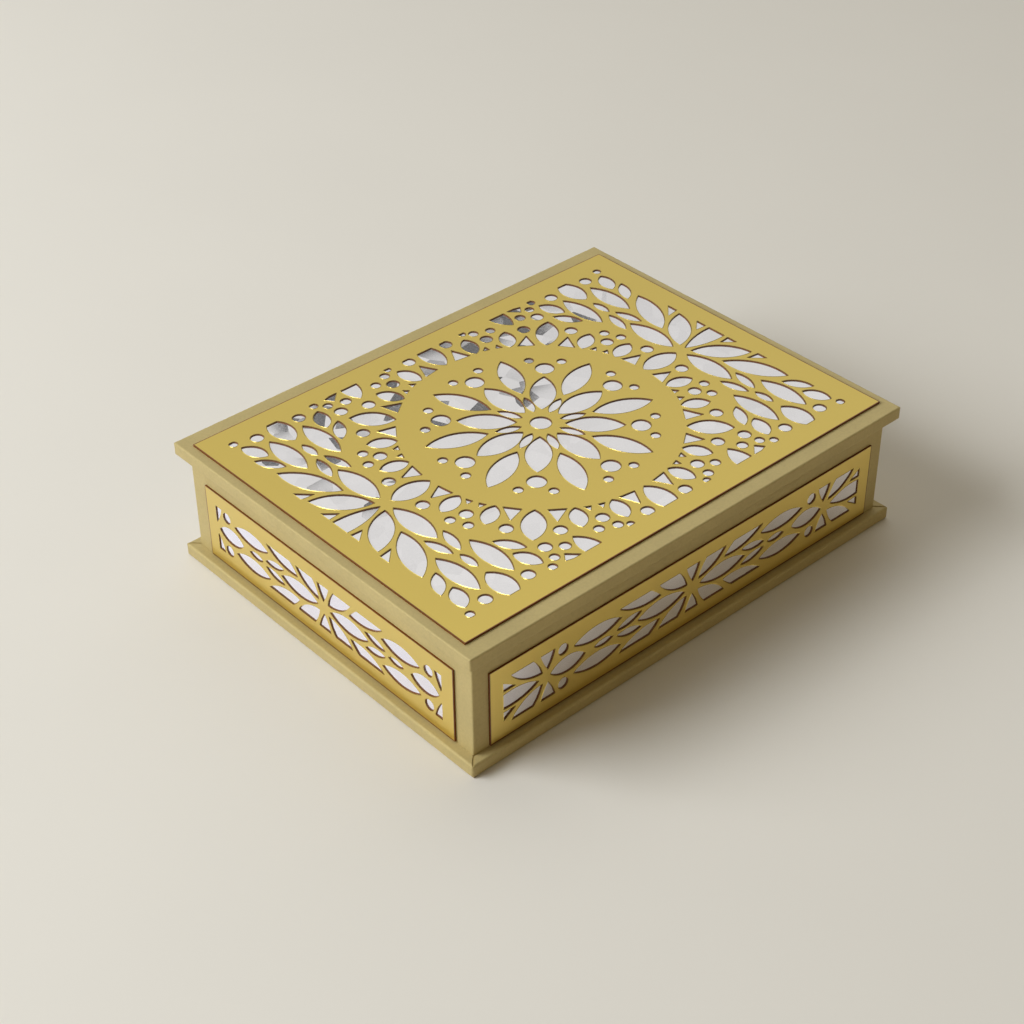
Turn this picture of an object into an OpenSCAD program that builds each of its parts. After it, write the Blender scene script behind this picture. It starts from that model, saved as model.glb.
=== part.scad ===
// Hinged presentation box for a bound book: leatherette-wrapped boards with laser-cut mirror panels.
// Millimetres. +Z is up and the origin is the middle of the underside.
// The front is -Y, the hinge runs along the -X side and the lid lifts at the +X side.

/* [Box] */
// Overall width of the lid and base plates
box_w = 174; // [160:1:210]
// Overall length of the lid and base plates
box_l = 225; // [205:1:270]
// Height from the table to the leatherette on top of the lid
box_h = 54.5; // [50:0.5:80]
// How far the lid and base plates stand out past the walls
overhang = 4.2; // [3:0.1:7]

/* [Boards and leatherette] */
// Thickness of the lid and base boards
plate_board_t = 4.5; // [4:0.1:7]
// Thickness of the wall boards
wall_board_t = 4; // [3.6:0.1:6]
// Thickness of the leatherette
cover_t = 0.5; // [0.3:0.05:0.5]
// Rounding of the wrapped edges of the base plate
base_edge_r = 0.9; // [0.7:0.1:2.4]
// Rounding of the wrapped edges of the lid plate
lid_edge_r = 0.7; // [0.7:0.1:2.4]
// Rounding of the upright corners of the tray
tray_corner_r = 0.7; // [0.7:0.1:3]
// Width of the leatherette turned in over the inner face of a plate
turn_in = 16; // [14:0.5:24]
// Depth of the wall leatherette turned down inside the tray
turn_down = 12; // [8:0.5:20]
// Width of the seam between two turn-ins at a corner
seam_w = 0.9; // [0.2:0.05:1]
// Depth of that seam, as a share of the leatherette
seam_share = 0.7; // [0.3:0.05:0.8]

/* [Lining] */
// Thickness of the velvet cards on the floor and walls
card_t = 1.2; // [0.8:0.1:2.5]
// Bare band left above the wall cards
card_drop = 5; // [4:0.5:10]
// Thickness of the velvet pad under the lid
pad_t = 2; // [1:0.1:3.5]
// Clearance round the lid pad in the mouth of the tray
pad_gap = 1; // [0.5:0.1:2]

/* [Hinge and magnets] */
// Length of the leatherette hinge strip
hinge_l = 170; // [100:1:190]
// Height of the hinge strip's leaf on the wall
hinge_leaf_h = 8; // [5:0.5:8]
// Length of a bar magnet
magnet_l = 12; // [6:0.5:20]
// Width of a bar magnet
magnet_w = 3; // [2:0.1:3.2]
// Height of a bar magnet
magnet_h = 2; // [1:0.1:4]
// Thickness of the steel plate above a magnet
strike_t = 1; // [0.5:0.1:2]
// Distance of a magnet from the middle of the wall
magnet_y = 60; // [20:1:80]

/* [Panels] */
// Thickness of the gold fretwork sheets
fret_t = 0.4; // [0.3:0.1:1.5]
// Thickness of the silver mirror sheets
mirror_t = 0.4; // [0.3:0.1:1.5]
// Margin from the long edges of the lid to its panel
lid_margin_x = 7.4; // [3:0.1:12]
// Margin from the short edges of the lid to its panel
lid_margin_y = 4.2; // [3:0.1:12]
// Plain rim round the ornament of the lid panel
lid_rim = 9; // [5:0.5:14]
// Margin from a corner of the tray to the end of a panel on a short wall
short_wall_margin = 9.3; // [5:0.1:15]
// Margin from a corner of the tray to the end of a panel on a long wall
long_wall_margin = 7.2; // [5:0.1:15]
// Plain band of wall between a wall panel and the lid
wall_panel_drop = 9.4; // [6:0.1:14]
// Gap between the ledge of the base and the foot of a wall panel
wall_panel_foot = 0.7; // [0.2:0.1:2]
// Plain rim round the ornament of a wall panel
wall_rim = 6.3; // [4:0.1:9]

/* [Ornament] */
// How full the leaves and dots are cut, against their drawn width
leaf_fill = 1; // [0.8:0.02:1.06]

/* [Hidden] */
$fn = 96;

// How far a cut runs past the face it opens
past = 1;

// Wrapped plates and the walls between them
plate_t = plate_board_t + 2 * cover_t;
seam_depth = seam_share * cover_t;
wall_t = wall_board_t + 2 * cover_t;
wall_top = box_h - plate_t;
wall_h = wall_top - plate_t;
tray_w = box_w - 2 * overhang;
tray_l = box_l - 2 * overhang;
inner_w = tray_w - 2 * wall_t;
inner_l = tray_l - 2 * wall_t;
board_core_w = tray_w - 2 * (cover_t + wall_board_t);
board_core_l = tray_l - 2 * (cover_t + wall_board_t);
board_top = wall_top - cover_t;
magnet_x = tray_w / 2 - cover_t - wall_board_t / 2;

// Linings
floor_top = plate_t + card_t;
card_h = wall_top - card_drop - floor_top;

// Panels; those of the walls are glued on just clear of the ledge
wall_panel_h = wall_h - wall_panel_drop - wall_panel_foot;
wall_panel_z = plate_t + wall_panel_foot + wall_panel_h / 2;
lid_panel_w = box_w - 2 * lid_margin_x;
lid_panel_l = box_l - 2 * lid_margin_y;
short_panel_l = tray_w - 2 * short_wall_margin;
long_panel_l = tray_l - 2 * long_wall_margin;

// The ornament is drawn on a field of these half sizes and stretched to each panel's window
lid_field = [70.5, 99.25];
short_wall_field = [74.2, 13.2];
long_wall_field = [95, 13.2];

// Line through the rosettes at each end of the lid field
lid_band_y = 77.4;

// Leaves of the band, each from tip to tip with its width: on its line, on both sides of it, and
// the petals that rise from a rosette
band_line_leaves = [[[4, 0], [28.8, 0], 9], [[41.5, 0], [51, 0], 3.7], [[55.4, 0], [72.6, 0], 9.4]];
band_side_leaves = [[[26.8, 4.6], [39.6, 1.7], 4.2], [[37.3, 8], [61.2, 8], 8.3]];
band_petals = [[[3, 3.2], [20.5, 20.8], 9.5], [[17, 7], [42.5, 18.5], 9.5]];
band_dot = [66.4, 10.1];

// What differs from the lid to the walls: the upright leaf of a rosette and the dots
lid_upright = [[0, 3], [0, 37], 8.6];
lid_dot_r = 2.6;
wall_upright = [[0, 3.8], [0, 37], 10.4];
wall_dot_r = 3;

// The next rosette of a wall's band, which shows at the ends of the long wall panels
next_line_leaf = [[78.2, 0], [103.8, 0], 9];
next_side_leaves = [[[73.8, 3.8], [73.8, 37], 10.4], [[76.5, 3.2], [94, 20.8], 9.5]];
next_chip = [[96, 11.8], [96, 6.2], [89.4, 6.3]];

// Fillings of the lid's corners, on both sides of the band's line
lid_side_leaves = [[[43.6, 13.3], [54.6, 20.2], 5], [[53.8, 14.1], [65.2, 18.3], 6.5]];
lid_corner_dot = [69, 19.4];
lid_corner_dot_r = 1.7;
lid_top_chips = [[[6.3, 21.9], [11.2, 21.9], [6.7, 16.8]], [[23.1, 21.9], [28, 21.9], [22.3, 16.2]]];

// Fillings between the ring and the lid's long rim: dots with their radius, a leaf and a chip
lid_flank_dots = [[58.9, 52.3, 2.6], [65.4, 53.8, 1.9], [63.2, 46.5, 2.2], [69.8, 20, 1.5]];
lid_flank_leaf = [[61, 40.7], [79, 38.5], 8];
lid_flank_chip = [[69.6, 52.3], [66.3, 49.8], [72, 44]];

// Ring of leaves round the medallion, in eight equal parts. Points are given by their distance out
// from the ring and their angle from the nearest long leaf or, in a cluster, from its middle.
ring_r = 56.5;
ring_part = 45;
ring_long_leaf = [18.5, 9.4];
ring_short_leaf = [12, 6.8];
ring_short_turn = 15;
ring_chip = [[0, 4.8], [0, 12], [7.5, 7.7]];
ring_dot = [12.5, 8.2];
ring_dot_r = 2.6;
cluster_chip = [[0.5, 1.3], [0.5, 4.2], [3.1, 2.4]];
cluster_dot = [14.5, 3];
cluster_dot_r = 2;
cluster_mid_dot = 8.6;

// Rosette in the medallion: leaves from one radius to another with their width, in the line of the
// ring's long leaves and between them, and dots with their radius
rosette_mid_r = 4.2;
rosette_line_leaf = [9.4, 33, 10.4];
rosette_between_leaves = [[21.6, 47, 9.4], [8, 18.8, 3.8]];
rosette_dot = [39, 3.8];
rosette_side_dot = [45, 1.9];
rosette_side_turn = 8.5;

// Sections and solids

module soft_rectangle(w, l, r) {
    square([w - 2 * r, l], center = true);
    square([w, l - 2 * r], center = true);
    for (x = [-1, 1], y = [-1, 1])
        translate([x * (w / 2 - r), y * (l / 2 - r)])
            circle(r);
}

// A plate with all its edges rounded, standing on z = 0
module soft_plate(w, l, t, r) {
    translate([0, 0, t / 2])
        intersection() {
            rotate([90, 0, 0])
                linear_extrude(l, center = true)
                    soft_rectangle(w, t, r);
            rotate([90, 0, 90])
                linear_extrude(w, center = true)
                    soft_rectangle(l, t, r);
            linear_extrude(t, center = true)
                soft_rectangle(w, l, r);
        }
}

// A block standing on z = 0, middled in X and Y
module block(w, l, h) {
    linear_extrude(h)
        square([w, l], center = true);
}

// Board of a plate whose wrapped edges have radius r
module plate_board(r) {
    translate([0, 0, cover_t])
        soft_plate(box_w - 2 * cover_t, box_l - 2 * cover_t, plate_board_t, r - cover_t);
}

// Leatherette under a plate and round its edges, turned in on top with mitred corners
module plate_cover(r) {
    difference() {
        soft_plate(box_w, box_l, plate_t, r);
        plate_board(r);
        translate([0, 0, plate_t - cover_t])
            block(box_w - 2 * turn_in, box_l - 2 * turn_in, cover_t + past);
        for (x = [-1, 1], y = [-1, 1])
            translate([x * (box_w / 2 - turn_in), y * (box_l / 2 - turn_in), plate_t - seam_depth])
                rotate(45 * y * (2 - x))
                    translate([-seam_w, -seam_w / 2, 0])
                        cube([2 * turn_in, seam_w, seam_depth + past]);
    }
}

// Turns a plate over, from the base to the lid
module as_lid() {
    translate([0, 0, box_h])
        mirror([0, 0, 1])
            children();
}

// The tray's wall boards as one ring, with rounded outer corners
module wall_ring() {
    translate([0, 0, plate_t])
        linear_extrude(wall_h - cover_t)
            difference() {
                soft_rectangle(tray_w - 2 * cover_t, tray_l - 2 * cover_t, tray_corner_r - cover_t);
                square([board_core_w, board_core_l], center = true);
            }
}

// One wall's board; side is 1 at the back and right, -1 at the front and left
module short_wall_board(side) {
    intersection() {
        wall_ring();
        translate([0, side * (board_core_l + tray_l) / 4, plate_t])
            block(tray_w, (tray_l - board_core_l) / 2, wall_h);
    }
}

module long_wall_board(side) {
    intersection() {
        wall_ring();
        translate([side * (board_core_w + tray_w) / 4, 0, plate_t])
            block((tray_w - board_core_w) / 2, board_core_l, wall_h);
    }
}

module short_lining(side) {
    translate([0, side * (inner_l - card_t) / 2, floor_top])
        block(inner_w, card_t, card_h);
}

module long_lining(side) {
    translate([side * (inner_w - card_t) / 2, 0, floor_top])
        block(card_t, inner_l - 2 * card_t, card_h);
}

// Bars in a row along the lid's free side
module magnet_bars(w, h) {
    for (y = [-1, 1])
        translate([magnet_x, y * magnet_y, 0])
            block(w, magnet_l, h);
}

module wall_leaf_room() {
    translate([-tray_w / 2, -hinge_l / 2, wall_top - hinge_leaf_h])
        cube([cover_t, hinge_l, hinge_leaf_h]);
}

module lid_leaf_room() {
    translate([-tray_w / 2, -hinge_l / 2, wall_top])
        cube([turn_in - overhang, hinge_l, cover_t]);
}

// Ornament: cut-outs on a field that is stretched by $fit

function fitted(p) = [p[0] * $fit[0], p[1] * $fit[1]];
function polar(r, angle) = [r * cos(angle), r * sin(angle)];
function beside_band(p, side) = [p[0], $band_y + side * p[1]];

// A pointed leaf between two tips, bounded by two arcs
module leaf(tips) {
    from = fitted(tips[0]);
    to = fitted(tips[1]);
    w = tips[2] * leaf_fill * min($fit);
    run = to - from;
    arc_r = (run * run + w * w) / (4 * w);
    translate((from + to) / 2)
        rotate(atan2(run[1], run[0]))
            intersection() {
                translate([0, arc_r - w / 2])
                    circle(arc_r);
                translate([0, w / 2 - arc_r])
                    circle(arc_r);
            }
}

module dot(middle, r) {
    translate(fitted(middle))
        circle(r * leaf_fill * min($fit));
}

module chip(corners) {
    polygon([for (p = corners) fitted(p)]);
}

module band_leaf(tips, side) {
    leaf([beside_band(tips[0], side), beside_band(tips[1], side), tips[2]]);
}

module band_chip(corners, side) {
    chip([for (p = corners) beside_band(p, side)]);
}

// Half of a band to the right of its rosette; petal_sides lists the sides of its line that have petals
module half_band(petal_sides, dot_r) {
    for (tips = band_line_leaves)
        band_leaf(tips, 1);
    for (side = [-1, 1]) {
        for (tips = band_side_leaves)
            band_leaf(tips, side);
        dot(beside_band(band_dot, side), dot_r);
    }
    for (side = petal_sides, tips = band_petals)
        band_leaf(tips, side);
}

// Ornament of a wall panel: a band with a rosette in the middle
module wall_ornament(field, window) {
    $fit = [window[0] / field[0] / 2, window[1] / field[1] / 2];
    $band_y = 0;
    intersection() {
        square(window, center = true);
        union() {
            for (flip = [0, 1])
                mirror([flip, 0]) {
                    half_band([-1, 1], wall_dot_r);
                    band_leaf(next_line_leaf, 1);
                    for (side = [-1, 1]) {
                        for (tips = next_side_leaves)
                            band_leaf(tips, side);
                        band_chip(next_chip, side);
                    }
                }
            for (side = [-1, 1])
                band_leaf(wall_upright, side);
        }
    }
}

module ring_leaf(size, angle) {
    leaf([polar(ring_r, angle), polar(ring_r + size[0], angle), size[1]]);
}

// A chip outside the ring, with its corners given to one side of an angle
module ring_chip_at(corners, angle, side) {
    chip([for (p = corners) polar(ring_r + p[0], angle + side * p[1])]);
}

module leaf_ring() {
    for (turn = [0 : ring_part : 360 - ring_part]) {
        cluster = turn + ring_part / 2;
        ring_leaf(ring_long_leaf, turn);
        dot(polar(ring_r + cluster_mid_dot, cluster), ring_dot_r);
        for (side = [-1, 1]) {
            ring_leaf(ring_short_leaf, turn + side * ring_short_turn);
            ring_chip_at(ring_chip, turn, side);
            dot(polar(ring_r + ring_dot[0], turn + side * ring_dot[1]), ring_dot_r);
            ring_chip_at(cluster_chip, cluster, side);
            dot(polar(ring_r + cluster_dot[0], cluster + side * cluster_dot[1]), cluster_dot_r);
        }
    }
}

module rosette_leaf(size, angle) {
    leaf([polar(size[0], angle), polar(size[1], angle), size[2]]);
}

module rosette() {
    dot([0, 0], rosette_mid_r);
    for (turn = [0 : ring_part : 360 - ring_part]) {
        rosette_leaf(rosette_line_leaf, turn);
        for (size = rosette_between_leaves)
            rosette_leaf(size, turn + ring_part / 2);
        dot(polar(rosette_dot[0], turn), rosette_dot[1]);
        for (side = [-1, 1])
            dot(polar(rosette_side_dot[0], turn + side * rosette_side_turn), rosette_side_dot[1]);
    }
}

// Quarter of the lid's field, between the ring and the rim
module lid_quarter() {
    half_band([1], lid_dot_r);
    for (side = [-1, 1]) {
        for (tips = lid_side_leaves)
            band_leaf(tips, side);
        dot(beside_band(lid_corner_dot, side), lid_corner_dot_r);
    }
    for (corners = lid_top_chips)
        band_chip(corners, 1);
    for (d = lid_flank_dots)
        dot([d[0], d[1]], d[2]);
    leaf(lid_flank_leaf);
    chip(lid_flank_chip);
}

module lid_ornament(window) {
    $fit = [window[0] / lid_field[0] / 2, window[1] / lid_field[1] / 2];
    $band_y = lid_band_y;
    intersection() {
        square(window, center = true);
        union() {
            leaf_ring();
            rosette();
            for (over = [0, 1])
                mirror([0, over]) {
                    band_leaf(lid_upright, 1);
                    for (flip = [0, 1])
                        mirror([flip, 0])
                            lid_quarter();
                }
        }
    }
}

// A sheet on one wall, from its back face; side as for the wall boards
module on_short_wall(side, off) {
    translate([0, side * (tray_l / 2 + off), wall_panel_z])
        rotate([90, 0, 90 + side * 90])
            children();
}

module on_long_wall(side, off) {
    translate([side * (tray_w / 2 + off), 0, wall_panel_z])
        rotate([90, 0, side * 90])
            children();
}

module wall_mirror(l) {
    linear_extrude(mirror_t)
        square([l, wall_panel_h], center = true);
}

module wall_fret(l, field) {
    linear_extrude(fret_t)
        difference() {
            square([l, wall_panel_h], center = true);
            wall_ornament(field, [l - 2 * wall_rim, wall_panel_h - 2 * wall_rim]);
        }
}

// Base and tray

module base_board() {
    color("#8B7350") plate_board(base_edge_r);
}

module base_cover() {
    color("#B9A56C") plate_cover(base_edge_r);
}

module front_wall() {
    color("#8B7350") short_wall_board(-1);
}

module back_wall() {
    color("#8B7350") short_wall_board(1);
}

module left_wall() {
    color("#8B7350") long_wall_board(-1);
}

module right_wall() {
    color("#8B7350")
        difference() {
            long_wall_board(1);
            translate([0, 0, board_top - magnet_h])
                magnet_bars(magnet_w, magnet_h + past);
        }
}

// Leatherette outside the walls, over their top edges and turned down inside
module wall_cover() {
    color("#B9A56C")
        difference() {
            translate([0, 0, plate_t])
                linear_extrude(wall_h)
                    difference() {
                        soft_rectangle(tray_w, tray_l, tray_corner_r);
                        square([inner_w, inner_l], center = true);
                    }
            wall_ring();
            translate([0, 0, plate_t - past])
                block(board_core_w, board_core_l, wall_h - turn_down + past);
            wall_leaf_room();
        }
}

module floor_lining() {
    color("#E4D9BE")
        translate([0, 0, plate_t])
            block(inner_w, inner_l, card_t);
}

module front_lining() {
    color("#E4D9BE") short_lining(-1);
}

module back_lining() {
    color("#E4D9BE") short_lining(1);
}

module left_lining() {
    color("#E4D9BE") long_lining(-1);
}

module right_lining() {
    color("#E4D9BE") long_lining(1);
}

module wall_magnets() {
    color("#9DA0A3")
        translate([0, 0, board_top - magnet_h])
            magnet_bars(magnet_w, magnet_h);
}

// Wall panels

module front_mirror() {
    color("#DADBE0") on_short_wall(-1, 0) wall_mirror(short_panel_l);
}

module back_mirror() {
    color("#DADBE0") on_short_wall(1, 0) wall_mirror(short_panel_l);
}

module left_mirror() {
    color("#DADBE0") on_long_wall(-1, 0) wall_mirror(long_panel_l);
}

module right_mirror() {
    color("#DADBE0") on_long_wall(1, 0) wall_mirror(long_panel_l);
}

module front_fret() {
    color("#D2B650") on_short_wall(-1, mirror_t) wall_fret(short_panel_l, short_wall_field);
}

module back_fret() {
    color("#D2B650") on_short_wall(1, mirror_t) wall_fret(short_panel_l, short_wall_field);
}

module left_fret() {
    color("#D2B650") on_long_wall(-1, mirror_t) wall_fret(long_panel_l, long_wall_field);
}

module right_fret() {
    color("#D2B650") on_long_wall(1, mirror_t) wall_fret(long_panel_l, long_wall_field);
}

// Hinge strip, let in flush with the leatherette of the wall and of the lid

module hinge_wall_leaf() {
    color("#B9A56C") wall_leaf_room();
}

module hinge_lid_leaf() {
    color("#B9A56C") lid_leaf_room();
}

// Lid

module lid_board() {
    color("#8B7350")
        difference() {
            as_lid() plate_board(lid_edge_r);
            translate([0, 0, wall_top + cover_t - past])
                magnet_bars(magnet_w, strike_t + past);
        }
}

module lid_cover() {
    color("#B9A56C")
        difference() {
            as_lid() plate_cover(lid_edge_r);
            lid_leaf_room();
        }
}

module lid_lining() {
    color("#E4D9BE")
        translate([0, 0, wall_top - pad_t])
            block(inner_w - 2 * pad_gap, inner_l - 2 * pad_gap, pad_t);
}

module lid_strikes() {
    color("#9DA0A3")
        translate([0, 0, wall_top + cover_t])
            magnet_bars(magnet_w, strike_t);
}

module lid_mirror() {
    color("#DADBE0")
        translate([0, 0, box_h])
            block(lid_panel_w, lid_panel_l, mirror_t);
}

module lid_fret() {
    color("#D2B650")
        translate([0, 0, box_h + mirror_t])
            linear_extrude(fret_t)
                difference() {
                    square([lid_panel_w, lid_panel_l], center = true);
                    lid_ornament([lid_panel_w - 2 * lid_rim, lid_panel_l - 2 * lid_rim]);
                }
}

base_board();
base_cover();
front_wall();
back_wall();
left_wall();
right_wall();
wall_cover();
floor_lining();
front_lining();
back_lining();
left_lining();
right_lining();
front_mirror();
front_fret();
back_mirror();
back_fret();
left_mirror();
left_fret();
right_mirror();
right_fret();
wall_magnets();
hinge_wall_leaf();
hinge_lid_leaf();
lid_board();
lid_cover();
lid_lining();
lid_strikes();
lid_mirror();
lid_fret();
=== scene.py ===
"""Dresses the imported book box: leatherette, gold fretwork, mirror sheets, velvet, hinge strip and a plain stage."""

import math

import bmesh
import bpy
from bpy.props import FloatProperty, FloatVectorProperty, PointerProperty
from mathutils import Matrix, Vector


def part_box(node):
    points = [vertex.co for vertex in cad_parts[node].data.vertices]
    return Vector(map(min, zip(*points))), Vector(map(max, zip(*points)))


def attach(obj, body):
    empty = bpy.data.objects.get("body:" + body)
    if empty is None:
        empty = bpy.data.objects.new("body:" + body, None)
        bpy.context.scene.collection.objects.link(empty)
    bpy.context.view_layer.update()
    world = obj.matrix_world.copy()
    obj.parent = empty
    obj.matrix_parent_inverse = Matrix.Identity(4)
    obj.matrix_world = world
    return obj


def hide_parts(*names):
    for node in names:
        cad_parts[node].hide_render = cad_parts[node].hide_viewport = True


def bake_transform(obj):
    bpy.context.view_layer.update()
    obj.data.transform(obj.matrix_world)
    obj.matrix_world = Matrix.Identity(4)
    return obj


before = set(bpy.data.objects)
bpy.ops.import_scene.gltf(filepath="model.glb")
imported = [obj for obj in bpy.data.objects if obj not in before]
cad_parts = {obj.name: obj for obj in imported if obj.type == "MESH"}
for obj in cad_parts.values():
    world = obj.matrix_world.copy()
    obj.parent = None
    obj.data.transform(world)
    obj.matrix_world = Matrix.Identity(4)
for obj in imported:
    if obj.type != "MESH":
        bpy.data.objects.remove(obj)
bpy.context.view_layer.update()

bl_info = {
    "name": "Book Box Finishes",
    "version": (1, 0, 0),
    "blender": (4, 5, 0),
    "location": "View3D > Sidebar > Book Box",
    "description": "Finishes, soft pieces and stage for a hinged book box with fretwork panels",
    "category": "Object",
}

MM = 0.001

LEATHERETTE_NODES = ("base_cover", "wall_cover", "lid_cover")
BOARD_NODES = ("base_board", "lid_board", "front_wall", "back_wall", "left_wall", "right_wall")
METAL_NODES = ("wall_magnets", "lid_strikes")
# Places of the panels, by the axis that the faces of their sheets look along
PANELS = {"X": ("left", "right"), "Y": ("front", "back"), "Z": ("lid",)}
# Velvet cards of the tray, with the way their pile faces
CARD_FACES = {
    "floor_lining": (0, 0, 1),
    "front_lining": (0, 1, 0),
    "back_lining": (0, -1, 0),
    "left_lining": (1, 0, 0),
    "right_lining": (-1, 0, 0),
}

# The lip of melt round a cut: its width, its slope away from the cut and how rough it has set
LIP_WIDTH = 0.6 * MM
LIP_SLOPE = math.radians(40)
LIP_ROUGHNESS = 0.2
# How far a rounded normal leans where the lip begins and where it has its full slope
LIP_LEAN = (0.04, 0.14)
# A panel has no lip this near its outline
PLAIN_MARGIN = 1 * MM
# Distances from a panel's outline between which the dark outline ends
DARK_OUTLINE = (0.25 * MM, 0.45 * MM)
# How much wider the dark outline is at the foot of a wall panel, as painted shadow under the foot
FOOT_SHADE = 0.2 * MM
# How much rougher a cut edge of the gold sheet is than its face
CUT_ROUGHNESS = 0.35
# Spread of the slopes at which the mirror's windows tilt, half of it to either side
MIRROR_TILT = 0.045
# Share of a mirror's face that shines as metal; the rest is milky
MIRROR_METAL = 0.9

# Cells of the lid pad's grid along X and Y, and the powers that keep its crown flat until near the edges
PAD_CELLS = (48, 64)
PAD_POWERS = (8, 10)

# The way from the box to the middle of the wall that the lid mirrors
WALL_WAY = (-0.6, 0.53, 0.6)
# The ways from the box to the ends of the shelf on that wall
SHELF_WAYS = Vector((-0.697, 0.461, 0.55)), Vector((-0.634, 0.589, 0.501))
# Cosines of the angles from the wall's middle between which the wall fades in
WALL_FADE = (0.64, 0.94)
# Sines of the angles from the shelf's middle line between which it ends, and the light that it leaves
SHELF_EDGE = (0.014, 0.02)
SHELF_LIGHT = 0.1

# Place, width, height and colour of each lamp, then True if only gloss shows it, False if only matt surfaces do.
# The pane stands just in front of the window, so that a mirrored ray meets it first.
LAMPS = {
    "window": ((-1.08, -1.66, 1.32), 1.6, 1.2, "#EEF4FF", False),
    "pane": ((-1.05, -1.61, 1.28), 3.2, 2.4, "#EEF4FF", True),
    "strip": ((-0.07, -0.84, 1.41), 0.9, 0.4, "#FFFFFF", True),
}
LAMPS_AIM = Vector((0, 0, 27 * MM))
# How far the floor lies below the box, so that their faces don't coincide
FLOOR_DROP = 0.1 * MM

# Where the camera stands, what it looks at, its roll and its sensor in millimetres
CAMERA_EYE = Vector((0.48021, -0.44406, 0.50157))
CAMERA_AIM = Vector((0.00723, -0.0219, 0.027))
CAMERA_ROLL = math.radians(-0.51)
SENSOR_WIDTH = 36


def linear(hex_colour):
    """Linear RGB of an sRGB colour written as #RRGGBB."""
    channels = [int(hex_colour[i:i + 2], 16) / 255 for i in (1, 3, 5)]
    return [c / 12.92 if c <= 0.04045 else ((c + 0.055) / 1.055) ** 2.4 for c in channels]


def put(tree, kind, inputs=None, stops=None, **settings):
    """Adds a node to tree: inputs are links or plain values by socket, stops fill a colour ramp."""
    node = tree.nodes.new(kind)
    for name, value in settings.items():
        setattr(node, name, value)
    if stops:
        ramp = node.color_ramp
        while len(ramp.elements) < len(stops):
            ramp.elements.new(1)
        for element, (position, colour) in zip(ramp.elements, stops):
            element.position, element.color = position, (*colour, 1)
    for socket, value in (inputs or {}).items():
        if isinstance(value, bpy.types.NodeSocket):
            tree.links.new(value, node.inputs[socket])
        else:
            wants_alpha = node.inputs[socket].type == "RGBA" and len(value) == 3
            node.inputs[socket].default_value = (*value, 1) if wants_alpha else value
    return node


def new_material(name):
    """An empty node material and the tree it is drawn in."""
    material = bpy.data.materials.new(name)
    material.use_nodes = True
    material.node_tree.nodes.clear()
    return material, material.node_tree


def close_material(tree, shader):
    """Ends a material with this shader as its surface."""
    put(tree, "ShaderNodeOutputMaterial", {"Surface": shader.outputs[0]})


def shade(colour, factor):
    """A colour made lighter or darker."""
    return [min(1, c * factor) for c in colour]


def dress(material, *nodes):
    """Gives CAD nodes one material in place of the one they were packed with."""
    for name in nodes:
        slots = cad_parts[name].data.materials
        slots.clear()
        slots.append(material)


def leatherette(finish):
    """PVC leatherette, embossed and lacquered with pearl gold: satin, with a fine pebble that breaks up the light."""
    material, tree = new_material("leatherette_pearl_gold")
    base = finish.leatherette_colour
    place = put(tree, "ShaderNodeTexCoord").outputs["Object"]
    pebble = put(tree, "ShaderNodeTexVoronoi", {"Vector": place, "Scale": 1 / finish.grain_size},
                 feature="SMOOTH_F1")
    # Pores far finer than the pebble would not show, so they are drawn at half its width
    pores = put(tree, "ShaderNodeTexNoise",
                {"Vector": place, "Scale": 2 / finish.grain_size, "Detail": 3.0, "Roughness": 0.6})
    clouds = put(tree, "ShaderNodeTexNoise",
                 {"Vector": place, "Scale": 1 / (28 * MM), "Detail": 4.0, "Roughness": 0.55})
    tone = put(tree, "ShaderNodeValToRGB", {"Fac": clouds.outputs["Fac"]},
               stops=((0.3, shade(base, 0.93)), (0.7, shade(base, 1.06))))
    # Painted shade: the colour darkens in the creases of the pebble, where shade falls
    painted_crease_shade = put(tree, "ShaderNodeMapRange",
                  {"Value": pebble.outputs["Distance"], "From Min": 0.25, "From Max": 0.75, "To Max": 0.16})
    colour = put(tree, "ShaderNodeMix", {"Factor": painted_crease_shade.outputs[0], "A": tone.outputs["Color"],
                                         "B": shade(base, 0.55)}, data_type="RGBA")
    rough = put(tree, "ShaderNodeMapRange",
                {"Value": pores.outputs["Fac"], "From Min": 0.3, "From Max": 0.7, "To Min": 0.55, "To Max": 0.68})
    height = put(tree, "ShaderNodeMath", {0: pebble.outputs["Distance"], 1: pores.outputs["Fac"]},
                 operation="MULTIPLY")
    bump = put(tree, "ShaderNodeBump", {"Height": height.outputs[0], "Strength": 0.35, "Distance": 0.12 * MM},
               invert=True)
    shader = put(tree, "ShaderNodeBsdfPrincipled",
                 {"Base Color": colour.outputs["Result"], "Roughness": rough.outputs[0],
                  "Normal": bump.outputs[0], "Metallic": 0.15, "Specular IOR Level": 0.3})
    close_material(tree, shader)
    return material


def sheet_face(tree, coords, axis):
    """1 on the faces of a sheet that look along axis, 0 on its cut edges."""
    facing = put(tree, "ShaderNodeSeparateXYZ", {0: coords.outputs["Normal"]})
    along = put(tree, "ShaderNodeMath", {0: facing.outputs[axis]}, operation="ABSOLUTE")
    return put(tree, "ShaderNodeMath", {0: along.outputs[0], 1: 0.5}, operation="GREATER_THAN").outputs[0]


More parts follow.
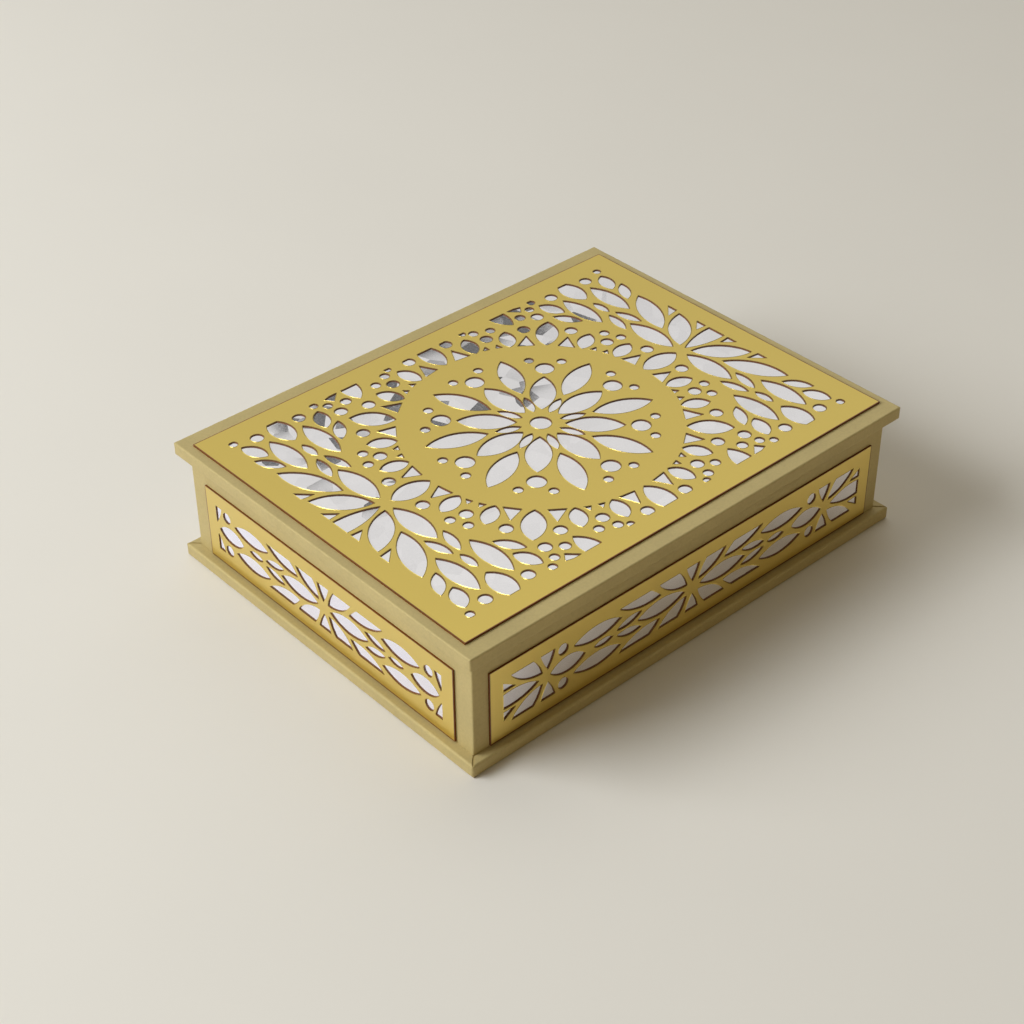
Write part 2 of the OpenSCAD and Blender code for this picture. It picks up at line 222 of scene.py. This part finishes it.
def inset(tree, place, node, axis):
    """How far a point of a panel's face lies inside the panel's outline, in metres."""
    low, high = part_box(node)
    half, middle = (high - low) / 2, (low + high) / 2
    # Across the sheet nothing counts as near the outline
    half["XYZ".index(axis)] = 1
    if axis != "Z":
        # At a wall panel's foot the dark outline is widened as painted shadow under the foot, and narrowed as much at
        # its top
        middle.z += FOOT_SHADE
    off = put(tree, "ShaderNodeVectorMath", {0: place, 1: middle}, operation="SUBTRACT")
    off = put(tree, "ShaderNodeVectorMath", {0: off.outputs[0]}, operation="ABSOLUTE")
    room_left = put(tree, "ShaderNodeVectorMath", {0: half, 1: off.outputs[0]}, operation="SUBTRACT")
    room_left = put(tree, "ShaderNodeSeparateXYZ", {0: room_left.outputs[0]})
    least = put(tree, "ShaderNodeMath", {0: room_left.outputs["X"], 1: room_left.outputs["Y"]},
                operation="MINIMUM")
    least = put(tree, "ShaderNodeMath", {0: least.outputs[0], 1: room_left.outputs["Z"]}, operation="MINIMUM")
    return least.outputs[0]


def gold_acrylic(finish, axis, node):
    """Gold-backed acrylic, laser cut: satin faces, bright rims round the cuts, amber edges and a dark outline,
    widened at a wall panel's foot as painted shadow.
    """
    material, tree = new_material("gold_mirror_acrylic_" + axis.lower())
    coords = put(tree, "ShaderNodeTexCoord")
    place = coords.outputs["Object"]
    face = sheet_face(tree, coords, axis)
    # The haze is finer than this; it is drawn at 0.7 mm so that it shows
    haze = put(tree, "ShaderNodeTexNoise",
               {"Vector": place, "Scale": 1 / (0.7 * MM), "Detail": 3.0, "Roughness": 0.6})
    wave = put(tree, "ShaderNodeTexNoise", {"Vector": place, "Scale": 1 / (45 * MM), "Detail": 1.0})
    tone = put(tree, "ShaderNodeValToRGB", {"Fac": haze.outputs["Fac"]},
               stops=((0.3, shade(finish.gold_colour, 0.99)), (0.7, shade(finish.gold_colour, 1.01))))
    scorch = put(tree, "ShaderNodeValToRGB", {"Fac": wave.outputs["Fac"]},
                 stops=((0.3, shade(finish.edge_colour, 0.8)), (0.7, shade(finish.edge_colour, 1.15))))
    rough = put(tree, "ShaderNodeMapRange",
                {"Value": haze.outputs["Fac"], "From Min": 0.3, "From Max": 0.7,
                 "To Min": finish.gold_haze - 0.01, "To Max": finish.gold_haze + 0.01})
    cut = put(tree, "ShaderNodeMath", {0: 1.0, 1: face}, operation="SUBTRACT")
    rough = put(tree, "ShaderNodeMath", {0: cut.outputs[0], 1: CUT_ROUGHNESS, 2: rough.outputs[0]},
                operation="MULTIPLY_ADD")
    # Near an edge a rounded normal leans towards it; lean is that much, the other way
    upright = put(tree, "ShaderNodeNewGeometry").outputs["Normal"]
    rounded = put(tree, "ShaderNodeBevel", {"Radius": LIP_WIDTH}, samples=16)
    lean = put(tree, "ShaderNodeVectorMath", {0: upright, 1: rounded.outputs[0]}, operation="SUBTRACT")
    lean = lean.outputs[0]
    edge_off = inset(tree, place, node, axis)
    inner = put(tree, "ShaderNodeMath", {0: edge_off, 1: PLAIN_MARGIN}, operation="GREATER_THAN")
    inner = put(tree, "ShaderNodeMath", {0: face, 1: inner.outputs[0]}, operation="MULTIPLY").outputs[0]
    # Round a cut the beam leaves a raised lip of melt that has set glossy and slopes away from the cut
    melt = put(tree, "ShaderNodeVectorMath", {0: lean}, operation="LENGTH")
    melt = put(tree, "ShaderNodeMapRange",
               {"Value": melt.outputs["Value"], "From Min": LIP_LEAN[0], "From Max": LIP_LEAN[1]})
    melt = put(tree, "ShaderNodeMath", {0: inner, 1: melt.outputs[0]}, operation="MULTIPLY").outputs[0]
    steep = put(tree, "ShaderNodeMath", {0: melt, 1: math.tan(LIP_SLOPE)}, operation="MULTIPLY")
    slope = put(tree, "ShaderNodeVectorMath", {0: lean}, operation="NORMALIZE")
    slope = put(tree, "ShaderNodeVectorMath", {0: slope.outputs[0], "Scale": steep.outputs[0]},
                operation="SCALE")
    lip = put(tree, "ShaderNodeVectorMath", {0: upright, 1: slope.outputs[0]}, operation="ADD")
    lip = put(tree, "ShaderNodeVectorMath", {0: lip.outputs[0]}, operation="NORMALIZE")
    rough = put(tree, "ShaderNodeMath", {0: melt, 1: LIP_ROUGHNESS - finish.gold_haze, 2: rough.outputs[0]},
                operation="MULTIPLY_ADD")
    # Along the outline the face takes the colour of the cut edge: a dark line, widened at a wall panel's foot as
    # painted shadow
    gilt = put(tree, "ShaderNodeMapRange",
               {"Value": edge_off, "From Min": DARK_OUTLINE[0], "From Max": DARK_OUTLINE[1]})
    gilt = put(tree, "ShaderNodeMath", {0: face, 1: gilt.outputs[0]}, operation="MULTIPLY").outputs[0]
    colour = put(tree, "ShaderNodeMix", {"Factor": gilt, "A": scorch.outputs["Color"],
                                         "B": tone.outputs["Color"]}, data_type="RGBA")
    bump = put(tree, "ShaderNodeBump", {"Height": wave.outputs["Fac"], "Strength": 1.0, "Distance": 0.25 * MM,
                                        "Normal": lip.outputs[0]})
    shader = put(tree, "ShaderNodeBsdfPrincipled",
                 {"Base Color": colour.outputs["Result"], "Roughness": rough.outputs[0],
                  "Normal": bump.outputs[0], "Metallic": gilt})
    close_material(tree, shader)
    return material


def silver_mirror(finish, axis):
    """Silver-mirrored acrylic sheet: slightly milky, and each little window tilts a bit, as it is glued by hand."""
    material, tree = new_material("silver_mirror_acrylic_" + axis.lower())
    coords = put(tree, "ShaderNodeTexCoord")
    place = coords.outputs["Object"]
    face = sheet_face(tree, coords, axis)
    # Each window has a tilt of its own, up to about 1.3 degrees along each axis
    windows = put(tree, "ShaderNodeTexVoronoi", {"Vector": place, "Scale": 1 / finish.mirror_window})
    tilt = put(tree, "ShaderNodeVectorMath", {0: windows.outputs["Color"], 1: (0.5, 0.5, 0.5)},
               operation="SUBTRACT")
    tilt = put(tree, "ShaderNodeVectorMath", {0: tilt.outputs[0], "Scale": MIRROR_TILT}, operation="SCALE")
    upright = put(tree, "ShaderNodeNewGeometry").outputs["Normal"]
    tilted = put(tree, "ShaderNodeVectorMath", {0: upright, 1: tilt.outputs[0]}, operation="ADD")
    tilted = put(tree, "ShaderNodeVectorMath", {0: tilted.outputs[0]}, operation="NORMALIZE")
    wave = put(tree, "ShaderNodeTexNoise", {"Vector": place, "Scale": 1 / (24 * MM), "Detail": 0.0})
    # Dust is finer than this; it is drawn at 0.7 mm so that it shows
    dust = put(tree, "ShaderNodeTexNoise",
               {"Vector": place, "Scale": 1 / (0.7 * MM), "Detail": 4.0, "Roughness": 0.7})
    tone = put(tree, "ShaderNodeValToRGB", {"Fac": dust.outputs["Fac"]},
               stops=((0.25, shade(finish.mirror_colour, 0.95)), (0.6, finish.mirror_colour)))
    colour = put(tree, "ShaderNodeMix", {"Factor": face, "A": finish.edge_colour, "B": tone.outputs["Color"]},
                 data_type="RGBA")
    rough = put(tree, "ShaderNodeMapRange",
                {"Value": dust.outputs["Fac"], "From Min": 0.3, "From Max": 0.8, "To Min": 0.03, "To Max": 0.09})
    bump = put(tree, "ShaderNodeBump", {"Height": wave.outputs["Fac"], "Strength": 1.0, "Distance": 0.15 * MM,
                                        "Normal": tilted.outputs[0]})
    silver = put(tree, "ShaderNodeMath", {0: face, 1: MIRROR_METAL}, operation="MULTIPLY")
    shader = put(tree, "ShaderNodeBsdfPrincipled",
                 {"Base Color": colour.outputs["Result"], "Roughness": rough.outputs[0],
                  "Normal": bump.outputs[0], "Metallic": silver.outputs[0]})
    close_material(tree, shader)
    return material


def velvet(finish):
    """Rayon velvet, stroked flat: matt in the pile, pale at the edge of sight, with brushed patches."""
    material, tree = new_material("cream_velvet")
    base = finish.velvet_colour
    place = put(tree, "ShaderNodeTexCoord").outputs["Object"]
    # The pile is about 0.2 mm; it is drawn at 0.6 mm so that it shows
    pile = put(tree, "ShaderNodeTexNoise",
               {"Vector": place, "Scale": 1 / (0.6 * MM), "Detail": 4.0, "Roughness": 0.7})
    strokes = put(tree, "ShaderNodeTexNoise",
                  {"Vector": place, "Scale": 1 / (22 * MM), "Detail": 3.0, "Distortion": 0.8})
    nap = put(tree, "ShaderNodeValToRGB", {"Fac": strokes.outputs["Fac"]},
              stops=((0.35, shade(base, 0.94)), (0.65, shade(base, 1.04))))
    # Painted shade: the colour darkens where the pile is low, as shade between the fibres
    painted_pile_shade = put(tree, "ShaderNodeMapRange",
                {"Value": pile.outputs["Fac"], "From Min": 0.3, "From Max": 0.7, "To Min": 0.3, "To Max": 0.0})
    colour = put(tree, "ShaderNodeMix", {"Factor": painted_pile_shade.outputs[0], "A": nap.outputs["Color"],
                                         "B": shade(base, 0.6)}, data_type="RGBA")
    bump = put(tree, "ShaderNodeBump", {"Height": pile.outputs["Fac"], "Strength": 0.5, "Distance": 0.25 * MM})
    shader = put(tree, "ShaderNodeBsdfPrincipled",
                 {"Base Color": colour.outputs["Result"], "Normal": bump.outputs[0], "Roughness": 0.9,
                  "Specular IOR Level": 0.15, "Sheen Weight": 0.5, "Sheen Roughness": 0.35,
                  "Sheen Tint": linear("#FFF6E0")})
    close_material(tree, shader)
    return material


def fibreboard(finish):
    """Medium-density fibreboard, sawn: matt, with short pressed fibres in two browns."""
    material, tree = new_material("fibreboard")
    place = put(tree, "ShaderNodeTexCoord").outputs["Object"]
    fibres = put(tree, "ShaderNodeTexNoise",
                 {"Vector": place, "Scale": 1 / (1.2 * MM), "Detail": 5.0, "Roughness": 0.7, "Distortion": 1.5})
    colour = put(tree, "ShaderNodeValToRGB", {"Fac": fibres.outputs["Fac"]},
                 stops=((0.3, shade(finish.board_colour, 0.7)), (0.7, shade(finish.board_colour, 1.15))))
    bump = put(tree, "ShaderNodeBump", {"Height": fibres.outputs["Fac"], "Strength": 0.3, "Distance": 0.1 * MM})
    shader = put(tree, "ShaderNodeBsdfPrincipled",
                 {"Base Color": colour.outputs["Color"], "Normal": bump.outputs[0], "Roughness": 0.85})
    close_material(tree, shader)
    return material


def nickel_plate(finish):
    """Nickel-plated steel, barrel plated: a soft grey shine with fine tumbling marks."""
    material, tree = new_material("nickel_plate")
    place = put(tree, "ShaderNodeTexCoord").outputs["Object"]
    marks = put(tree, "ShaderNodeTexNoise",
                {"Vector": place, "Scale": 1 / (0.8 * MM), "Detail": 5.0, "Roughness": 0.65})
    colour = put(tree, "ShaderNodeValToRGB", {"Fac": marks.outputs["Fac"]},
                 stops=((0.3, shade(finish.nickel_colour, 0.85)), (0.7, finish.nickel_colour)))
    rough = put(tree, "ShaderNodeMapRange",
                {"Value": marks.outputs["Fac"], "From Min": 0.3, "From Max": 0.7, "To Min": 0.2, "To Max": 0.38})
    shader = put(tree, "ShaderNodeBsdfPrincipled",
                 {"Base Color": colour.outputs["Color"], "Roughness": rough.outputs[0], "Metallic": 1.0})
    close_material(tree, shader)
    return material


def floor_paper(stage):
    """Matt backdrop paper: plain, with a barely visible mottle; in gloss it shows a painted reflection, paler than it
    is lit and warm on the right.
    """
    material, tree = new_material("backdrop_paper")
    place = put(tree, "ShaderNodeTexCoord").outputs["Object"]
    mottle = put(tree, "ShaderNodeTexNoise", {"Vector": place, "Scale": 1 / (120 * MM), "Detail": 3.0})
    colour = put(tree, "ShaderNodeValToRGB", {"Fac": mottle.outputs["Fac"]},
                 stops=((0.3, shade(stage.floor_colour, 0.985)), (0.7, stage.floor_colour)))
    # The front wall mirrors the floor where X + Y is below 0, and the right wall where it is above
    axes = put(tree, "ShaderNodeSeparateXYZ", {0: place})
    side = put(tree, "ShaderNodeMath", {0: axes.outputs["X"], 1: axes.outputs["Y"]}, operation="ADD")
    right = put(tree, "ShaderNodeMapRange", {"Value": side.outputs[0], "From Min": -0.1, "From Max": 0.1})
    # Painted reflection: in gloss the floor is paler than its lit colour, and warm where the right wall mirrors it
    pale = put(tree, "ShaderNodeMix", {"Factor": right.outputs[0], "A": stage.mirrored_front,
                                       "B": stage.mirrored_right}, data_type="RGBA")
    mirrored = put(tree, "ShaderNodeLightPath").outputs["Is Glossy Ray"]
    seen = put(tree, "ShaderNodeMix", {"Factor": mirrored, "A": colour.outputs["Color"],
                                       "B": pale.outputs["Result"]}, data_type="RGBA")
    shader = put(tree, "ShaderNodeBsdfPrincipled",
                 {"Base Color": seen.outputs["Result"], "Roughness": 0.9, "Specular IOR Level": 0.1})
    close_material(tree, shader)
    return material


def room(stage):
    """Even room light, warmer from the right, with a pale wall and a dark shelf behind to the left."""
    world = bpy.data.worlds.new("room")
    world.use_nodes = True
    tree = world.node_tree
    tree.nodes.clear()
    way = put(tree, "ShaderNodeTexCoord").outputs["Generated"]
    axes = put(tree, "ShaderNodeSeparateXYZ", {0: way})
    towards = put(tree, "ShaderNodeVectorMath", {0: way, 1: WALL_WAY}, operation="DOT_PRODUCT")
    # The wall fades out between 20 and 50 degrees from its middle, and is brighter towards its top
    wall = put(tree, "ShaderNodeMapRange",
               {"Value": towards.outputs["Value"], "From Min": WALL_FADE[0], "From Max": WALL_FADE[1]},
               interpolation_type="SMOOTHSTEP")
    lit = put(tree, "ShaderNodeMapRange",
              {"Value": axes.outputs["Z"], "From Min": 0.3, "From Max": 0.8, "To Min": 0.5 * stage.wall_light,
               "To Max": 1.3 * stage.wall_light})
    strength = put(tree, "ShaderNodeMath", {0: wall.outputs[0], 1: lit.outputs[0], 2: stage.room_light},
                   operation="MULTIPLY_ADD")
    # The shelf hangs dark on the wall, about 1 degree to each side of the line between its ends
    near_end, far_end = SHELF_WAYS
    across = put(tree, "ShaderNodeVectorMath", {0: way, 1: near_end.cross(far_end).normalized()},
                 operation="DOT_PRODUCT")
    across = put(tree, "ShaderNodeMath", {0: across.outputs["Value"]}, operation="ABSOLUTE")
    beside = put(tree, "ShaderNodeMapRange",
                 {"Value": across.outputs[0], "From Min": SHELF_EDGE[0], "From Max": SHELF_EDGE[1],
                  "To Min": 1.0, "To Max": 0.0})
    middle = (near_end + far_end).normalized()
    along = put(tree, "ShaderNodeVectorMath", {0: way, 1: middle}, operation="DOT_PRODUCT")
    shelf = put(tree, "ShaderNodeMath", {0: along.outputs["Value"], 1: middle.dot(near_end.normalized())},
                operation="GREATER_THAN")
    shelf = put(tree, "ShaderNodeMath", {0: shelf.outputs[0], 1: beside.outputs[0]}, operation="MULTIPLY")
    clear = put(tree, "ShaderNodeMapRange", {"Value": shelf.outputs[0], "To Min": 1.0, "To Max": SHELF_LIGHT})
    strength = put(tree, "ShaderNodeMath", {0: strength.outputs[0], 1: clear.outputs[0]}, operation="MULTIPLY")
    right = put(tree, "ShaderNodeMapRange", {"Value": axes.outputs["X"], "From Min": 0.0, "From Max": 0.6})
    tint = put(tree, "ShaderNodeMix", {"Factor": right.outputs[0], "A": linear("#F2F1EF"),
                                       "B": linear("#F4DFB0")}, data_type="RGBA")
    light = put(tree, "ShaderNodeBackground", {"Color": tint.outputs["Result"], "Strength": strength.outputs[0]})
    # To the camera the room starts as dim as the far floor and gets pale towards its top
    fade = put(tree, "ShaderNodeMapRange", {"Value": axes.outputs["Z"], "From Min": 0.0, "From Max": 0.35,
                                            "To Min": 0.38, "To Max": 0.8})
    pale = put(tree, "ShaderNodeBackground", {"Color": stage.floor_colour, "Strength": fade.outputs[0]})
    seen = put(tree, "ShaderNodeMixShader", {0: put(tree, "ShaderNodeLightPath").outputs["Is Camera Ray"],
                                             1: light.outputs[0], 2: pale.outputs[0]})
    put(tree, "ShaderNodeOutputWorld", {"Surface": seen.outputs[0]})
    return world


def make_piece(name, bm, material):
    """Turns a bmesh into an object at the origin, with its faces outwards and one material."""
    bmesh.ops.recalc_face_normals(bm, faces=bm.faces)
    mesh = bpy.data.meshes.new(name)
    bm.to_mesh(mesh)
    bm.free()
    mesh.materials.append(material)
    piece = bpy.data.objects.new(name, mesh)
    bpy.context.scene.collection.objects.link(piece)
    return piece


def existing(name):
    """The material of that name, which an earlier operator made."""
    material = bpy.data.materials.get(name)
    if material is None:
        raise RuntimeError(f"{name} is made by another operator, which comes first")
    return material


class BookBoxFinish(bpy.types.PropertyGroup):
    """Colours and grain of the materials"""
    leatherette_colour: FloatVectorProperty(
        name="Leatherette", description="Colour of the leatherette", subtype="COLOR",
        default=linear("#BBA870"), min=0, max=1)
    grain_size: FloatProperty(
        name="Grain", description="Width of one pebble of the leatherette's grain", unit="LENGTH",
        default=0.9 * MM, min=0.3 * MM, max=3 * MM)
    gold_colour: FloatVectorProperty(
        name="Gold", description="Colour of the gold fretwork's faces", subtype="COLOR",
        default=linear("#DDC469"), min=0, max=1)
    gold_haze: FloatProperty(
        name="Gold haze", description="Roughness of the gold faces", subtype="FACTOR",
        default=0.36, min=0.05, max=0.8)
    edge_colour: FloatVectorProperty(
        name="Cut edge", description="Colour of the fretwork's cut edges", subtype="COLOR",
        default=linear("#703C0A"), min=0, max=1)
    mirror_colour: FloatVectorProperty(
        name="Mirror", description="Tint of the silver mirror sheets", subtype="COLOR",
        default=linear("#EEECEC"), min=0, max=1)
    mirror_window: FloatProperty(
        name="Mirror windows", description="Width of the pieces of mirror that tilt one by one", unit="LENGTH",
        default=9 * MM, min=3 * MM, max=80 * MM)
    velvet_colour: FloatVectorProperty(
        name="Velvet", description="Colour of the velvet lining", subtype="COLOR",
        default=linear("#E4D9BE"), min=0, max=1)
    board_colour: FloatVectorProperty(
        name="Board", description="Colour of the fibreboard", subtype="COLOR",
        default=linear("#8B7350"), min=0, max=1)
    nickel_colour: FloatVectorProperty(
        name="Nickel", description="Colour of the magnets and strike plates", subtype="COLOR",
        default=linear("#B9BBBD"), min=0, max=1)


class BookBoxSoftSizes(bpy.types.PropertyGroup):
    """Sizes of the hinge strip and the velvet pieces"""
    strip_gap: FloatProperty(
        name="Strip gap", description="Gap between the hinge strip and the leatherette round it", unit="LENGTH",
        default=0.15 * MM, min=0.02 * MM, max=0.5 * MM)
    card_edge: FloatProperty(
        name="Card edge", description="Rounding of the velvet cards' edges", unit="LENGTH",
        default=0.8 * MM, min=0.2 * MM, max=1.1 * MM)
    pad_edge: FloatProperty(
        name="Pad edge", description="Thickness of the lid pad at its edge", unit="LENGTH",
        default=0.9 * MM, min=0.4 * MM, max=1.8 * MM)


class BookBoxStage(bpy.types.PropertyGroup):
    """Floor, lamps and camera"""
    floor_colour: FloatVectorProperty(
        name="Floor", description="Colour of the floor", subtype="COLOR",
        default=linear("#E2DCCE"), min=0, max=1)
    mirrored_front: FloatVectorProperty(
        name="Mirrored front", description="Colour of the floor as the front panel mirrors it", subtype="COLOR",
        default=linear("#FAF7FF"), min=0, max=1)
    mirrored_right: FloatVectorProperty(
        name="Mirrored right", description="Colour of the floor as the right panel mirrors it", subtype="COLOR",
        default=linear("#F4ECE4"), min=0, max=1)
    floor_radius: FloatProperty(
        name="Floor radius", description="Radius of the floor", unit="LENGTH", default=6.0, min=1, max=30)
    window_power: FloatProperty(
        name="Window light", description="Power of the window at the left, which only matt surfaces show",
        unit="POWER", default=67.0, min=0, max=200)
    pane_power: FloatProperty(
        name="Pane light", description="Power of the wide pane round the window, which only gloss shows",
        unit="POWER", default=24.0, min=0, max=200)
    strip_power: FloatProperty(
        name="Strip light", description="Power of the strip light high in front, which only gloss shows",
        unit="POWER", default=8.0, min=0, max=50)
    room_light: FloatProperty(
        name="Room light", description="Strength of the light from all round", default=0.26, min=0, max=2)
    wall_light: FloatProperty(
        name="Wall light", description="Strength of the pale wall that the lid mirrors", default=0.68, min=0, max=2)
    lens: FloatProperty(
        name="Lens", description="Focal length of the camera", unit="CAMERA", default=71.466, min=20, max=200)


class BOOKBOX_OT_leatherette(bpy.types.Operator):
    """Finish the leatherette of the base, the walls and the lid"""
    bl_idname = "bookbox.leatherette"
    bl_label = "Leatherette"

    def execute(self, context):
        dress(leatherette(context.scene.book_box_finish), *LEATHERETTE_NODES)
        return {"FINISHED"}


class BOOKBOX_OT_fretwork(bpy.types.Operator):
    """Finish the gold fretwork sheets, with amber edges round every cut"""
    bl_idname = "bookbox.fretwork"
    bl_label = "Gold fretwork"

    def execute(self, context):
        for axis, places in PANELS.items():
            nodes = [place + "_fret" for place in places]
            dress(gold_acrylic(context.scene.book_box_finish, axis, nodes[0]), *nodes)
        return {"FINISHED"}


class BOOKBOX_OT_mirrors(bpy.types.Operator):
    """Finish the silver mirror sheets behind the fretwork"""
    bl_idname = "bookbox.mirrors"
    bl_label = "Mirror sheets"

    def execute(self, context):
        for axis, places in PANELS.items():
            dress(silver_mirror(context.scene.book_box_finish, axis), *(p + "_mirror" for p in places))
        return {"FINISHED"}


class BOOKBOX_OT_core(bpy.types.Operator):
    """Finish what the leatherette hides: the boards, the magnets and the strike plates"""
    bl_idname = "bookbox.core"
    bl_label = "Boards and magnets"

    def execute(self, context):
        finish = context.scene.book_box_finish
        dress(fibreboard(finish), *BOARD_NODES)
        dress(nickel_plate(finish), *METAL_NODES)
        return {"FINISHED"}


class BOOKBOX_OT_hinge_strip(bpy.types.Operator):
    """Build the hinge strip as one piece of leatherette that folds between the wall and the lid"""
    bl_idname = "bookbox.hinge_strip"
    bl_label = "Hinge strip"

    def execute(self, context):
        gap = context.scene.book_box_sizes.strip_gap
        wall_low, wall_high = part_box("hinge_wall_leaf")
        lid_low, lid_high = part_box("hinge_lid_leaf")
        thickness = wall_high.x - wall_low.x
        bm = bmesh.new()
        # The strip's outer line: up the wall, round the fold and in under the lid
        foot, fold, end = (bm.verts.new(p) for p in (
            (wall_low.x, wall_low.y + gap, wall_low.z + gap),
            (wall_low.x, wall_low.y + gap, lid_high.z),
            (lid_high.x - gap, wall_low.y + gap, lid_high.z)))
        bm.edges.new((foot, fold))
        bm.edges.new((fold, end))
        bmesh.ops.bevel(bm, geom=[fold], offset=thickness, affect="VERTICES", segments=8, profile=0.5,
                        material=-1)
        line = bmesh.ops.extrude_edge_only(bm, edges=bm.edges[:])["geom"]
        moved = [v for v in line if isinstance(v, bmesh.types.BMVert)]
        bmesh.ops.translate(bm, verts=moved, vec=(0, wall_high.y - wall_low.y - 2 * gap, 0))
        bmesh.ops.recalc_face_normals(bm, faces=bm.faces)
        outwards = sum((f.normal for f in bm.faces), Vector())
        if outwards.x > 0:
            bmesh.ops.reverse_faces(bm, faces=bm.faces)
        bmesh.ops.solidify(bm, geom=bm.faces[:], thickness=thickness)
        strip = make_piece("hinge_strip", bm, existing("leatherette_pearl_gold"))
        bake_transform(strip)
        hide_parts("hinge_wall_leaf", "hinge_lid_leaf")
        return {"FINISHED"}


class BOOKBOX_OT_velvet_cards(bpy.types.Operator):
    """Build the velvet-covered cards of the floor and the walls, with rounded edges"""
    bl_idname = "bookbox.velvet_cards"
    bl_label = "Velvet cards"

    def execute(self, context):
        edge = context.scene.book_box_sizes.card_edge
        pile = velvet(context.scene.book_box_finish)
        for node, facing in CARD_FACES.items():
            low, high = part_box(node)
            bm = bmesh.new()
            bmesh.ops.create_cube(bm, size=1)
            bmesh.ops.scale(bm, vec=high - low, verts=bm.verts)
            bmesh.ops.translate(bm, vec=(low + high) / 2, verts=bm.verts)
            bm.normal_update()
            front = [f for f in bm.faces if f.normal.dot(Vector(facing)) > 0.9]
            bmesh.ops.bevel(bm, geom=front[0].edges[:], offset=edge, affect="EDGES", segments=5, profile=0.5,
                            material=-1)
            card = make_piece(node.replace("_lining", "_velvet"), bm, pile)
            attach(card, "tray")
            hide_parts(node)
        return {"FINISHED"}


class BOOKBOX_OT_lid_pad(bpy.types.Operator):
    """Build the crowned velvet pad under the lid"""
    bl_idname = "bookbox.lid_pad"
    bl_label = "Lid pad"

    def execute(self, context):
        edge = context.scene.book_box_sizes.pad_edge
        low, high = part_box("lid_lining")
        half = (high - low) / 2
        middle = (high + low) / 2
        bm = bmesh.new()
        bmesh.ops.create_grid(bm, x_segments=PAD_CELLS[0], y_segments=PAD_CELLS[1], size=1)
        for v in bm.verts:
            crown = (1 - abs(v.co.x) ** PAD_POWERS[0]) * (1 - abs(v.co.y) ** PAD_POWERS[1])
            v.co.z = high.z - edge - (2 * half.z - edge) * crown ** 0.5
            v.co.x = middle.x + half.x * v.co.x
            v.co.y = middle.y + half.y * v.co.y
        back = bmesh.ops.extrude_face_region(bm, geom=bm.faces[:])["geom"]
        for v in back:
            if isinstance(v, bmesh.types.BMVert):
                v.co.z = high.z
        pad = make_piece("lid_velvet", bm, existing("cream_velvet"))
        for face in pad.data.polygons:
            face.use_smooth = face.normal.z < -0.2
        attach(pad, "lid")
        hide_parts("lid_lining")
        return {"FINISHED"}


class BOOKBOX_OT_stage(bpy.types.Operator):
    """Set up the floor, the soft lights and the camera"""
    bl_idname = "bookbox.stage"
    bl_label = "Stage"

    def execute(self, context):
        stage = context.scene.book_box_stage
        scene = context.scene
        scene.view_settings.view_transform = "Standard"

        bm = bmesh.new()
        bmesh.ops.create_circle(bm, cap_ends=True, segments=96, radius=stage.floor_radius)
        bmesh.ops.translate(bm, vec=(0, 0, -FLOOR_DROP), verts=bm.verts)
        floor = make_piece("floor", bm, floor_paper(stage))

        powers = {"window": stage.window_power, "pane": stage.pane_power, "strip": stage.strip_power}
        for name, (place, width, height, colour, gloss) in LAMPS.items():
            data = bpy.data.lights.new(name, "AREA")
            data.shape, data.size, data.size_y, data.energy = "RECTANGLE", width, height, powers[name]
            data.color = linear(colour)
            lamp = bpy.data.objects.new(name, data)
            lamp.location = place
            lamp.rotation_euler = (LAMPS_AIM - lamp.location).to_track_quat("-Z", "Y").to_euler()
            lamp.visible_camera = False
            lamp.visible_diffuse, lamp.visible_glossy = not gloss, gloss
            scene.collection.objects.link(lamp)
        scene.world = room(stage)

        data = bpy.data.cameras.new("camera")
        data.lens, data.sensor_width = stage.lens, SENSOR_WIDTH
        data.clip_start, data.clip_end = 0.01, 100
        camera = bpy.data.objects.new("camera", data)
        turn = (CAMERA_AIM - CAMERA_EYE).to_track_quat("-Z", "Y").to_matrix()
        turn = turn @ Matrix.Rotation(CAMERA_ROLL, 3, "Z")
        camera.matrix_world = Matrix.Translation(CAMERA_EYE) @ turn.to_4x4()
        scene.collection.objects.link(camera)
        scene.camera = camera
        return {"FINISHED"}


class BOOKBOX_PT_panel(bpy.types.Panel):
    """Finishes, soft pieces and stage of the book box"""
    bl_idname = "BOOKBOX_PT_panel"
    bl_label = "Book Box"
    bl_space_type = "VIEW_3D"
    bl_region_type = "UI"
    bl_category = "Book Box"

    def draw(self, context):
        scene = context.scene
        for group in (scene.book_box_finish, scene.book_box_sizes, scene.book_box_stage):
            column = self.layout.box().column()
            for name in group.__annotations__:
                column.prop(group, name)
        for operator in OPERATORS:
            self.layout.operator(operator.bl_idname)


GROUPS = {
    "book_box_finish": BookBoxFinish,
    "book_box_sizes": BookBoxSoftSizes,
    "book_box_stage": BookBoxStage,
}
# In the order in which they are called
OPERATORS = (
    BOOKBOX_OT_leatherette,
    BOOKBOX_OT_fretwork,
    BOOKBOX_OT_mirrors,
    BOOKBOX_OT_core,
    BOOKBOX_OT_hinge_strip,
    BOOKBOX_OT_velvet_cards,
    BOOKBOX_OT_lid_pad,
    BOOKBOX_OT_stage,
)


def register():
    for cls in (*GROUPS.values(), *OPERATORS, BOOKBOX_PT_panel):
        bpy.utils.register_class(cls)
    for name, cls in GROUPS.items():
        setattr(bpy.types.Scene, name, PointerProperty(type=cls))


def unregister():
    for name in GROUPS:
        delattr(bpy.types.Scene, name)
    for cls in reversed((*GROUPS.values(), *OPERATORS, BOOKBOX_PT_panel)):
        bpy.utils.unregister_class(cls)


def main():
    register()
    bpy.ops.bookbox.leatherette()
    bpy.ops.bookbox.fretwork()
    bpy.ops.bookbox.mirrors()
    bpy.ops.bookbox.core()
    bpy.ops.bookbox.hinge_strip()
    bpy.ops.bookbox.velvet_cards()
    bpy.ops.bookbox.lid_pad()
    bpy.ops.bookbox.stage()


if __name__ == "__main__":
    main()
